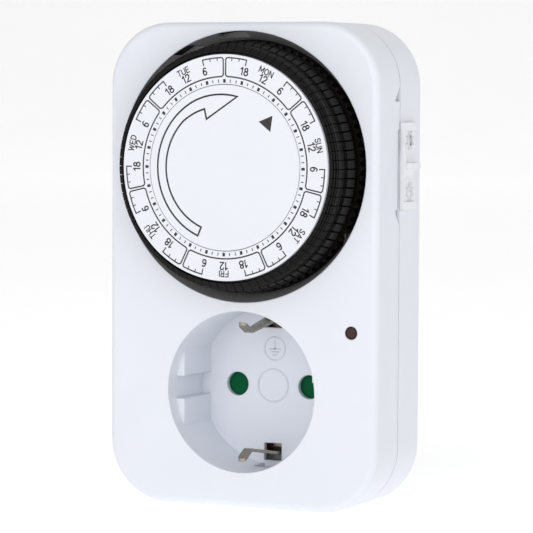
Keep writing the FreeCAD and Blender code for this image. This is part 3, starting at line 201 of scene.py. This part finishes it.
LETTERS = {
    "F": (0.55, [[(0, 0), (0, 1), (0.55, 1)], [(0, 0.52), (0.46, 0.52)]]),
    "R": (0.60, [[(0, 0), (0, 1), (0.36, 1), (0.54, 0.9), (0.57, 0.75), (0.5, 0.57), (0.36, 0.5), (0, 0.5)],
                 [(0.32, 0.5), (0.6, 0)]]),
    "I": (0.02, [[(0, 0), (0, 1)]]),
    "S": (0.58, [[(0.55, 0.84), (0.42, 0.97), (0.2, 0.99), (0.05, 0.88), (0.03, 0.7), (0.15, 0.56),
                  (0.43, 0.46), (0.56, 0.32), (0.55, 0.13), (0.4, 0.01), (0.18, 0.01), (0.02, 0.15)]]),
    "A": (0.68, [[(0, 0), (0.34, 1), (0.68, 0)], [(0.12, 0.32), (0.56, 0.32)]]),
    "T": (0.62, [[(0, 1), (0.62, 1)], [(0.31, 1), (0.31, 0)]]),
    "U": (0.60, [[(0, 1), (0, 0.25), (0.1, 0.07), (0.3, 0), (0.5, 0.07), (0.6, 0.25), (0.6, 1)]]),
    "N": (0.62, [[(0, 0), (0, 1), (0.62, 0), (0.62, 1)]]),
    "M": (0.78, [[(0, 0), (0, 1), (0.39, 0.22), (0.78, 1), (0.78, 0)]]),
    "O": (0.72, [ellipse(0.36, 0.5, 0.36, 0.5)]),
    "E": (0.54, [[(0.52, 1), (0, 1), (0, 0), (0.54, 0)], [(0, 0.52), (0.46, 0.52)]]),
    "W": (0.92, [[(0, 1), (0.22, 0), (0.46, 0.85), (0.70, 0), (0.92, 1)]]),
    "D": (0.62, [[(0, 0), (0, 1), (0.28, 1), (0.52, 0.88), (0.62, 0.64), (0.62, 0.36), (0.52, 0.12),
                  (0.28, 0), (0, 0)]]),
    "H": (0.60, [[(0, 0), (0, 1)], [(0.6, 0), (0.6, 1)], [(0, 0.52), (0.6, 0.52)]]),
    "1": (0.30, [[(0.0, 0.78), (0.26, 1), (0.26, 0)]]),
    "2": (0.56, [[(0.02, 0.76), (0.1, 0.93), (0.28, 1), (0.46, 0.93), (0.53, 0.76), (0.46, 0.55), (0, 0),
                  (0.56, 0)]]),
    "6": (0.56, [[(0.5, 0.9), (0.34, 1), (0.17, 0.92), (0.05, 0.66), (0.02, 0.32), (0.1, 0.08), (0.28, 0),
                  (0.46, 0.08), (0.54, 0.28), (0.46, 0.5), (0.28, 0.58), (0.1, 0.5), (0.03, 0.34)]]),
    "8": (0.56, [ellipse(0.28, 0.77, 0.22, 0.23), ellipse(0.28, 0.27, 0.28, 0.27)]),
}
LETTER_GAP = 0.27


def add_text(work, words, height, pen, radius, degrees, place, thickness):
    """Lettering whose tops point away from the dial's centre."""
    total = sum(LETTERS[letter][0] for letter in words) + LETTER_GAP * (len(words) - 1)
    turn = math.radians(degrees - 90.0)
    cx, cy = polar(radius, degrees)
    start = -total / 2
    reach = height - pen
    for letter in words:
        width, lines = LETTERS[letter]
        for line in lines:
            turned = []
            for u, v in line:
                across = (start + u) * reach
                upward = (v - 0.5) * reach
                turned.append((cx + across * math.cos(turn) - upward * math.sin(turn),
                               cy + across * math.sin(turn) + upward * math.cos(turn)))
            add_pen_line(work, turned, pen, place, thickness)
        start += width + LETTER_GAP


# Materials

# The part of a noise that is used, and the lowest and highest share of a roughness
NOISE_REACH = (0.3, 0.7)
TONE_STOPS = (0.32, 0.68)
GRAIN_DEPTH = 0.02 * MM
DRAWN_DEPTH = 0.01 * MM
DRAWN_STRENGTH = 0.10
PLASTIC_SHINE = (0.88, 1.12)
METAL_SHINE = (0.75, 1.3)
METAL_SHADE = 0.88
LINER_CONE_RADIUS = 31.92 * MM
LINER_CONE_BLEND = 0.06 * MM
LENS_CLEAR_RADIUS = 0.75 * MM
LENS_RIM_RADIUS = 1.45 * MM


class Nodes:
    """A small helper round one material's node tree."""

    def __init__(self, name):
        self.material = bpy.data.materials.new(name)
        self.material.use_nodes = True
        self.tree = self.material.node_tree
        self.shader = self.tree.nodes["Principled BSDF"]
        self.coordinates = self.add("ShaderNodeTexCoord").outputs["Object"]

    def add(self, kind, **settings):
        node = self.tree.nodes.new(kind)
        for key, value in settings.items():
            setattr(node, key, value)
        return node

    def link(self, output, target):
        self.tree.links.new(output, target)

    def set(self, socket, value):
        self.shader.inputs[socket].default_value = value

    def noise(self, scale, detail=2.0, stretch=(1.0, 1.0, 1.0)):
        source = self.coordinates
        if stretch != (1.0, 1.0, 1.0):
            mapping = self.add("ShaderNodeMapping")
            mapping.inputs["Scale"].default_value = stretch
            self.link(source, mapping.inputs["Vector"])
            source = mapping.outputs["Vector"]
        noise = self.add("ShaderNodeTexNoise")
        noise.inputs["Scale"].default_value = scale
        noise.inputs["Detail"].default_value = detail
        self.link(source, noise.inputs["Vector"])
        return noise.outputs["Fac"]

    def roughness(self, factor, low, high):
        reach = self.add("ShaderNodeMapRange")
        reach.inputs["From Min"].default_value = NOISE_REACH[0]
        reach.inputs["From Max"].default_value = NOISE_REACH[1]
        reach.inputs["To Min"].default_value = low
        reach.inputs["To Max"].default_value = high
        self.link(factor, reach.inputs["Value"])
        self.link(reach.outputs["Result"], self.shader.inputs["Roughness"])

    def beyond(self, centre, low, high):
        """0 inside the radius low and 1 beyond high, measured round a line along Y."""
        flat = self.add("ShaderNodeVectorMath", operation="MULTIPLY_ADD")
        flat.inputs[1].default_value = (1.0, 0.0, 1.0)
        flat.inputs[2].default_value = (-centre.x, 0.0, -centre.z)
        self.link(self.coordinates, flat.inputs[0])
        reach = self.add("ShaderNodeVectorMath", operation="LENGTH")
        self.link(flat.outputs["Vector"], reach.inputs[0])
        step = self.add("ShaderNodeMapRange")
        step.inputs["From Min"].default_value = low
        step.inputs["From Max"].default_value = high
        self.link(reach.outputs["Value"], step.inputs["Value"])
        return step.outputs["Result"]

    def two_tone(self, factor, dark, light):
        """Run from the first colour to the second as factor crosses the tone stops."""
        ramp = self.add("ShaderNodeValToRGB")
        ramp.color_ramp.elements[0].position = TONE_STOPS[0]
        ramp.color_ramp.elements[1].position = TONE_STOPS[1]
        ramp.color_ramp.elements[0].color = (*dark, 1)
        ramp.color_ramp.elements[1].color = (*light, 1)
        self.link(factor, ramp.inputs["Fac"])
        self.link(ramp.outputs["Color"], self.shader.inputs["Base Color"])

    def relief(self, factor, strength, depth, edge):
        """Bump from factor, over edges rounded in shading by the radius edge."""
        bump = self.add("ShaderNodeBump")
        bump.inputs["Strength"].default_value = strength
        bump.inputs["Distance"].default_value = depth
        self.link(factor, bump.inputs["Height"])
        bevel = self.add("ShaderNodeBevel", samples=6)
        bevel.inputs["Radius"].default_value = edge
        self.link(bevel.outputs["Normal"], bump.inputs["Normal"])
        self.link(bump.outputs["Normal"], self.shader.inputs["Normal"])


def plastic(name, colour, roughness, vary, relief, edge, grain=5200.0, sheen=0.5):
    nodes = Nodes(name)
    slow = nodes.noise(scale=70.0, detail=4.0)
    fine = nodes.noise(scale=grain, detail=3.0)
    dark = tuple(c * (1 - vary) for c in colour)
    light = tuple(min(1.0, c * (1 + vary)) for c in colour)
    nodes.two_tone(slow, dark, light)
    nodes.roughness(nodes.noise(scale=260.0, detail=5.0), *(roughness * share for share in PLASTIC_SHINE))
    nodes.relief(fine, relief, GRAIN_DEPTH, edge)
    nodes.set("Specular IOR Level", sheen)
    return nodes.material


def metal(name, colour, roughness, stretch=(1.0, 1.0, 12.0), edge=0.12 * MM):
    """Drawn metal, its noise squeezed along the axis with the largest stretch."""
    nodes = Nodes(name)
    drawn = nodes.noise(scale=900.0, detail=4.0, stretch=stretch)
    dark = tuple(c * METAL_SHADE for c in colour)
    nodes.two_tone(drawn, dark, colour)
    nodes.roughness(nodes.noise(scale=420.0, detail=5.0), *(roughness * share for share in METAL_SHINE))
    nodes.relief(drawn, DRAWN_STRENGTH, DRAWN_DEPTH, edge)
    nodes.set("Metallic", 1.0)
    return nodes.material


def print_ink():
    nodes = Nodes("print_ink")
    nodes.two_tone(nodes.noise(scale=2400.0, detail=3.0), (0.012, 0.009, 0.008), (0.035, 0.028, 0.026))
    nodes.roughness(nodes.noise(scale=1500.0, detail=3.0), 0.45, 0.62)
    return nodes.material


def funnel_plastic():
    """Grey on the cone and dark brown in the sunk windows behind it: partly the windows' own dark plastic
    and partly painted shade in those recesses.
    """
    nodes = Nodes("liner_with_painted_window_shade")
    beyond = nodes.beyond(Vector((0, 0, dial_z)), LINER_CONE_RADIUS, LINER_CONE_RADIUS + LINER_CONE_BLEND)
    # Beyond the cone's radius the colour turns dark brown, partly the plastic's own colour and partly
    # painted shade in the sunk windows.
    nodes.two_tone(beyond, (0.300, 0.290, 0.290), (0.020, 0.009, 0.006))
    nodes.roughness(nodes.noise(scale=260.0, detail=5.0), 0.42, 0.56)
    nodes.relief(nodes.noise(scale=3600.0, detail=3.0), 0.12, GRAIN_DEPTH, edge=0.2 * MM)
    return nodes.material


def lens_red():
    """Dull red in the middle of the lens and near black at its rim."""
    nodes = Nodes("lens_red")
    rim = nodes.beyond(lens_centre, LENS_CLEAR_RADIUS, LENS_RIM_RADIUS)
    nodes.two_tone(rim, (0.050, 0.016, 0.013), (0.006, 0.004, 0.004))
    nodes.roughness(nodes.noise(scale=1200.0, detail=3.0), 0.10, 0.18)
    nodes.relief(nodes.noise(scale=700.0, detail=2.0), 0.08, GRAIN_DEPTH, edge=0.3 * MM)
    nodes.set("Specular IOR Level", 0.30)
    return nodes.material


white = plastic("white_housing", (0.775, 0.802, 0.866), roughness=0.34, vary=0.010, relief=0.08,
                edge=0.45 * MM)
white_print = plastic("white_dial", (0.785, 0.805, 0.862), roughness=0.36, vary=0.004, relief=0.04,
                      edge=0.15 * MM, grain=6000.0)
white_slider = plastic("white_slider", (0.825, 0.84, 0.88), roughness=0.32, vary=0.010, relief=0.06,
                       edge=0.35 * MM, grain=6000.0)
black = plastic("black_tappet", (0.0050, 0.0044, 0.0044), roughness=0.30, vary=0.20, relief=0.10,
                edge=0.10 * MM, sheen=0.20)
drum_black = plastic("black_drum", (0.0060, 0.0055, 0.0055), roughness=0.42, vary=0.20, relief=0.10,
                     edge=0.08 * MM, sheen=0.25)
flange_black = plastic("black_flange", (0.0085, 0.0065, 0.0055), roughness=0.34, vary=0.20, relief=0.10,
                       edge=0.12 * MM, grain=4200.0, sheen=0.30)
liner_grey = funnel_plastic()
shutter_green = plastic("shutter_green", (0.002, 0.105, 0.036), roughness=0.55, vary=0.10, relief=0.12,
                        edge=0.3 * MM, grain=4200.0, sheen=0.08)
ivory = plastic("natural_plastic", (0.70, 0.66, 0.55), roughness=0.42, vary=0.05, relief=0.12,
                edge=0.2 * MM, grain=4200.0)
brown = plastic("brown_thermoset", (0.10, 0.045, 0.025), roughness=0.36, vary=0.15, relief=0.15,
                edge=0.2 * MM, grain=3800.0)
nickel = metal("nickel_strip", (0.40, 0.35, 0.285), roughness=0.30)
pin_nickel = metal("nickel_pin", (0.70, 0.68, 0.65), roughness=0.20, stretch=(1.0, 12.0, 1.0))
steel = metal("zinc_steel", (0.56, 0.56, 0.57), roughness=0.32)
brass = metal("plain_brass", (0.68, 0.50, 0.22), roughness=0.30)
copper = metal("copper_winding", (0.52, 0.20, 0.09), roughness=0.38, stretch=(1.0, 30.0, 1.0))
ferrite = plastic("ferrite", (0.045, 0.045, 0.048), roughness=0.55, vary=0.2, relief=0.3,
                  edge=0.2 * MM, grain=2600.0)
ink = print_ink()
lens = lens_red()


# Finishes on the carried-over nodes

def dress(material, *names):
    for name in names:
        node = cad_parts[name]
        node.data.materials.clear()
        node.data.materials.append(material)


tappet_nodes = [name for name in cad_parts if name.startswith("tappets_")]
dress(white, "front_shell", "rear_shell")
dress(white_print, "centre_cap", "scale_ring")
dress(white_slider, "override_slider")
dress(black, *tappet_nodes)
dress(drum_black, "tappet_drum", "mechanism_plate", "drive_gear")
dress(flange_black, "dial_flange")
dress(liner_grey, "dial_well_liner")
dress(shutter_green, "shutter")
dress(ivory, "trip_lever", "arbor_wheel", "motor_bobbin", "shutter_pivot", "lamp_resistor")
dress(brown, "switch_block", "contact_carrier", "lamp_board")
dress(nickel, "earth_strap", "plug_earth_contacts")
dress(pin_nickel, "plug_pin_left", "plug_pin_right")
dress(steel, "housing_screws", "centre_post", "gear_bridge", "bridge_screws", "motor_front_plate",
      "motor_can", "lever_pin", "detent_spring", "shutter_spring", "motor_shaft", "reduction_arbor")
dress(brass, "thrust_washer", "bridge_pillars", "arbor_pinion", "motor_pinion", "moving_contact",
      "fixed_contact", "contact_sleeve_left", "contact_sleeve_right", "neutral_link", "live_busbar",
      "switched_busbar")
dress(copper, "motor_winding")
dress(ferrite, "motor_rotor")
dress(lens, "indicator_lens", "indicator_lamp")


# Dial print

INK_PROUD = 0.012
DAY_NAMES = ["FRI", "SAT", "SUN", "MON", "TUE", "WED", "THU"]
FIRST_NOON = -90.0
TICKS = 84
TICKS_PER_DAY = 12
TICKS_PER_QUARTER = 3
TICK_PITCH = 360.0 / TICKS
DAY_PITCH = TICK_PITCH * TICKS_PER_DAY
QUARTER_PITCH = TICK_PITCH * TICKS_PER_QUARTER

# Radial lines: start radius, end radius, width
QUARTER_TICK = (19.70, 20.55, 0.64)
TWO_HOUR_TICK = (19.78, 20.48, 0.22)
BOX_PEN = 0.32
BOX_SIDE = (21.50, 25.20, BOX_PEN)
BOX_TICK = (24.75, 25.45, 0.22)
BOX_STOP = (24.15, 25.66, 0.28)

# A day's box: the edges of its two arcs, and the radii between which each corner is cut
BOX_INNER_ARC = (20.96, 21.29)
BOX_OUTER_ARC = (25.36, 25.66)
INNER_CORNER = (21.12, 21.55)
OUTER_CORNER = (25.15, 25.52)
BOX_GAP_DEGREES = 0.75
INNER_CORNER_DEGREES = 1.1
OUTER_CORNER_DEGREES = INNER_CORNER_DEGREES * 0.8

# Lettering: height, pen, radius
DAY_STYLE = (1.58, 0.24, 24.62)
HOUR_STYLE = (1.95, 0.29, 22.82)


def noon_of(day):
    return FIRST_NOON + day * DAY_PITCH


def draw_ticks(work):
    for n in range(TICKS):
        tick = TWO_HOUR_TICK if n % TICKS_PER_QUARTER else QUARTER_TICK
        add_radial_line(work, FIRST_NOON + n * TICK_PITCH, *tick, on_dial, INK_PROUD)


def draw_box_half(work, side, inward):
    """One side of a day's box, its corners, and the scale along its outer arc as far as the stop."""
    outer_turn = side + inward * OUTER_CORNER_DEGREES
    stop = side + inward * (QUARTER_PITCH - BOX_GAP_DEGREES)
    add_line(work, polar(INNER_CORNER[0], side + inward * INNER_CORNER_DEGREES),
             polar(INNER_CORNER[1], side), BOX_PEN, on_dial, INK_PROUD)
    add_radial_line(work, side, *BOX_SIDE, on_dial, INK_PROUD)
    add_line(work, polar(OUTER_CORNER[0], side), polar(OUTER_CORNER[1], outer_turn), BOX_PEN, on_dial,
             INK_PROUD)
    add_arc_band(work, *BOX_OUTER_ARC, *sorted((outer_turn, stop)), on_dial, INK_PROUD)
    for step in range(1, TICKS_PER_QUARTER):
        degrees = side + inward * (step * TICK_PITCH - BOX_GAP_DEGREES)
        add_radial_line(work, degrees, *BOX_TICK, on_dial, INK_PROUD)
    add_radial_line(work, stop, *BOX_STOP, on_dial, INK_PROUD)


def draw_day_boxes(work):
    for day in range(len(DAY_NAMES)):
        start = noon_of(day) - DAY_PITCH / 2 + BOX_GAP_DEGREES
        end = noon_of(day) + DAY_PITCH / 2 - BOX_GAP_DEGREES
        add_arc_band(work, *BOX_INNER_ARC, start + INNER_CORNER_DEGREES, end - INNER_CORNER_DEGREES,
                     on_dial, INK_PROUD)
        draw_box_half(work, start, 1)
        draw_box_half(work, end, -1)


def draw_lettering(work):
    for day, words in enumerate(DAY_NAMES):
        noon = noon_of(day)
        add_text(work, words, *DAY_STYLE, noon, on_dial, INK_PROUD)
        add_text(work, "12", *HOUR_STYLE, noon, on_dial, INK_PROUD)
        add_text(work, "6", *HOUR_STYLE, noon - QUARTER_PITCH, on_dial, INK_PROUD)
        add_text(work, "18", *HOUR_STYLE, noon + QUARTER_PITCH, on_dial, INK_PROUD)


# The arrow on the cap: an even band from its tail, whose outer edge draws in to the tip and whose inner edge
# draws in from the waist to the neck, with the barb between tip and neck
ARROW_PEN = 0.42
ARROW_OUTER = 17.3
ARROW_INNER = 15.1
ARROW_TAIL = 247.0
ARROW_STEPS = 34
ARROW_STEP = 4.0
TIP_START = 113.0
TIP_STEPS = 7
TIP_STEP = 4.9
TIP_DROP = 0.47
WAIST = 135.0
WAIST_REACH = 24.0
WAIST_DROP = 0.56
NECK = 110.65
BARB = (-4.60, 11.25)
INDEX_CORNERS = [(8.81, 10.77), (12.33, 12.16), (11.78, 8.42)]


def draw_arrow(work):
    outer = [polar(ARROW_OUTER, ARROW_TAIL - n * ARROW_STEP) for n in range(ARROW_STEPS)]
    outer += [polar(ARROW_OUTER - TIP_DROP * n / TIP_STEPS, TIP_START - n * TIP_STEP)
              for n in range(1, TIP_STEPS + 1)]
    inner = [polar(ARROW_INNER - max(0.0, WAIST_DROP * (WAIST - a) / WAIST_REACH), a)
             for a in (NECK + n * (ARROW_TAIL - NECK) / ARROW_STEPS for n in range(ARROW_STEPS + 1))]
    add_stroke(work, outer + [BARB] + inner, ARROW_PEN, on_dial, INK_PROUD)


def draw_index(work):
    add_prism(work, INDEX_CORNERS, on_dial, INK_PROUD)


new_piece("scale_ticks", draw_ticks, ink, "dial")
new_piece("scale_day_boxes", draw_day_boxes, ink, "dial")
new_piece("scale_lettering", draw_lettering, ink, "dial")
new_piece("cap_arrow", draw_arrow, ink, "housing")
new_piece("cap_index", draw_index, ink, "housing")


# Raised marks on the socket floor: a bare circle, and the earth symbol in its own circle

RIDGE = 0.40
RIDGE_PROUD = 0.05
BARE_CIRCLE = 4.15
EARTH_PLACE = (0.4, 8.9)
EARTH_CIRCLE = 2.95
EARTH_STEM = (1.8, -0.1)
EARTH_BARS = ((1.6, -0.1), (1.05, -0.8), (0.5, -1.5))


def on_earth_place(u, v, proud):
    return on_floor(u + EARTH_PLACE[0], v + EARTH_PLACE[1], proud)


def draw_floor_marks(work):
    add_ring(work, BARE_CIRCLE, RIDGE, on_floor, RIDGE_PROUD)
    add_ring(work, EARTH_CIRCLE, RIDGE, on_earth_place, RIDGE_PROUD)
    stem_top, stem_foot = EARTH_STEM
    add_line(work, (0.0, stem_top), (0.0, stem_foot), RIDGE, on_earth_place, RIDGE_PROUD)
    for half, level in EARTH_BARS:
        add_line(work, (-half, level), (half, level), RIDGE, on_earth_place, RIDGE_PROUD)


new_piece("socket_floor_marks", draw_floor_marks, white, "housing")


# Raised symbols in the slider's two windows: a ring and dashes round an oval, and round two clock hands

SYMBOL_PROUD = 0.26
SYMBOL_PEN = 0.30
SYMBOL_RING = 1.62
SYMBOL_DASHES = 8
SYMBOL_DASH = (1.85, 2.35, SYMBOL_PEN)
OVAL = [ellipse(0.0, 0.0, 0.42, 1.05)]
CLOCK_HANDS = [[(0.0, 1.05), (0.0, 0.0)], [(0.0, 0.0), (0.65, 0.0)]]
window_floor_x = slider_right - 1.45 * MM
window_middle_y = front_y + 16.9 * MM
slider_foot_z = 43.1 * MM
upper_window_z = slider_foot_z + 16.4 * MM
lower_window_z = slider_foot_z + 4.4 * MM


def draw_symbol(work, level, inner_lines):
    def place(u, v, proud):
        return Vector((window_floor_x + proud * MM, window_middle_y + u * MM, level + v * MM))

    dash_pitch = 360.0 / SYMBOL_DASHES
    add_ring(work, SYMBOL_RING, SYMBOL_PEN, place, SYMBOL_PROUD)
    for n in range(SYMBOL_DASHES):
        add_radial_line(work, dash_pitch / 2 + n * dash_pitch, *SYMBOL_DASH, place, SYMBOL_PROUD)
    for line in inner_lines:
        add_pen_line(work, line, SYMBOL_PEN, place, SYMBOL_PROUD)


def draw_slider_marks(work):
    draw_symbol(work, upper_window_z, OVAL)
    draw_symbol(work, lower_window_z, CLOCK_HANDS)


new_piece("slider_marks", draw_slider_marks, white_slider, "slider")


# Studio, in metres: a pale floor that sweeps up behind, and soft lights

FLOOR_HALF_WIDTH = 6.0
FLOOR_FRONT = -5.0
FLOOR_BACK = 2.2
SWEEP_RADIUS = 1.5
SWEEP_STEPS = 18
WALL_TOP = 5.0
PAPER_GLOW = 0.42
WORLD_GLOW = 0.42
LIGHT_AIM = (0.0, 0.0, 0.03)

# Each light: place, size of its disk, watts
LIGHTS = {
    "key_light": ((0.05, -1.20, 0.70), 1.4, 5.2),
    "front_light": ((0.15, -1.40, -0.02), 1.2, 4.4),
    "fill_light": ((1.10, -0.60, 0.25), 1.0, 2.2),
    "top_light": ((0.0, 0.15, 1.2), 0.9, 0.6),
}


def draw_sweep(work):
    floor_z = housing_low.z
    profile = [(FLOOR_FRONT, floor_z), (FLOOR_BACK, floor_z)]
    for n in range(1, SWEEP_STEPS + 1):
        angle = math.radians(90.0 / SWEEP_STEPS * n)
        profile.append((FLOOR_BACK + SWEEP_RADIUS * math.sin(angle),
                        floor_z + SWEEP_RADIUS * (1 - math.cos(angle))))
    profile.append((FLOOR_BACK + SWEEP_RADIUS, floor_z + WALL_TOP))
    rows = [[work.verts.new((x, y, z)) for y, z in profile] for x in (-FLOOR_HALF_WIDTH, FLOOR_HALF_WIDTH)]
    for n in range(len(profile) - 1):
        work.faces.new((rows[0][n], rows[1][n], rows[1][n + 1], rows[0][n + 1]))


def studio():
    mesh = mesh_from("studio_floor", draw_sweep)
    nodes = Nodes("studio_paper")
    nodes.two_tone(nodes.noise(scale=6.0, detail=2.0), (0.90, 0.90, 0.90), (0.92, 0.92, 0.92))
    nodes.set("Roughness", 0.9)
    nodes.set("Specular IOR Level", 0.1)
    nodes.set("Emission Color", (1.0, 1.0, 1.0, 1))
    nodes.set("Emission Strength", PAPER_GLOW)
    mesh.materials.append(nodes.material)
    floor = bpy.data.objects.new("studio_floor", mesh)
    bpy.context.scene.collection.objects.link(floor)
    for polygon in mesh.polygons:
        polygon.use_smooth = True


def lights():
    for name, (place, size, watts) in LIGHTS.items():
        data = bpy.data.lights.new(name, "AREA")
        data.shape = "DISK"
        data.size = size
        data.energy = watts
        lamp = bpy.data.objects.new(name, data)
        lamp.location = place
        lamp.rotation_euler = (Vector(LIGHT_AIM) - Vector(place)).to_track_quat("-Z", "Y").to_euler()
        bpy.context.scene.collection.objects.link(lamp)
    world = bpy.data.worlds.new("studio_world")
    world.use_nodes = True
    world.node_tree.nodes["Background"].inputs["Color"].default_value = (1.0, 1.0, 1.0, 1)
    world.node_tree.nodes["Background"].inputs["Strength"].default_value = WORLD_GLOW
    bpy.context.scene.world = world


# The camera, as solved on the photograph's outline, dial circles and socket recess

IMAGE_PIXELS = 533.0
FOCAL_PIXELS = 2931.07
CAMERA_DISTANCE = 689.083 * MM
CAMERA_AZIMUTH = math.radians(25.714)
CAMERA_ELEVATION = math.radians(3.474)
CAMERA_ROLL = math.radians(0.272)
AIM_OFFSET = Vector((6.656, 0.0, 0.108)) * MM
SENSOR_WIDTH = 36.0
CLIP_NEAR = 0.05
CLIP_FAR = 50.0


def camera():
    face_centre = Vector((0.0, front_y, (housing_low.z + housing_high.z) / 2))
    direction = Vector((math.sin(CAMERA_AZIMUTH) * math.cos(CAMERA_ELEVATION),
                        -math.cos(CAMERA_AZIMUTH) * math.cos(CAMERA_ELEVATION), math.sin(CAMERA_ELEVATION)))
    place = face_centre + CAMERA_DISTANCE * direction
    forward = (face_centre + AIM_OFFSET - place).normalized()
    level = forward.cross(Vector((0, 0, 1))).normalized()
    upright = level.cross(forward)
    right = level * math.cos(CAMERA_ROLL) + upright * math.sin(CAMERA_ROLL)
    up = upright * math.cos(CAMERA_ROLL) - level * math.sin(CAMERA_ROLL)
    data = bpy.data.cameras.new("camera")
    data.sensor_width = SENSOR_WIDTH
    data.lens = FOCAL_PIXELS / IMAGE_PIXELS * SENSOR_WIDTH
    data.clip_start = CLIP_NEAR
    data.clip_end = CLIP_FAR
    eye = bpy.data.objects.new("camera", data)
    turn = Matrix((right, up, -forward)).transposed().to_4x4()
    eye.matrix_world = Matrix.Translation(place) @ turn
    bpy.context.scene.collection.objects.link(eye)
    bpy.context.scene.camera = eye


camera()
lights()
studio()
bpy.context.scene.view_settings.view_transform = "Standard"

bpy.context.view_layer.update()
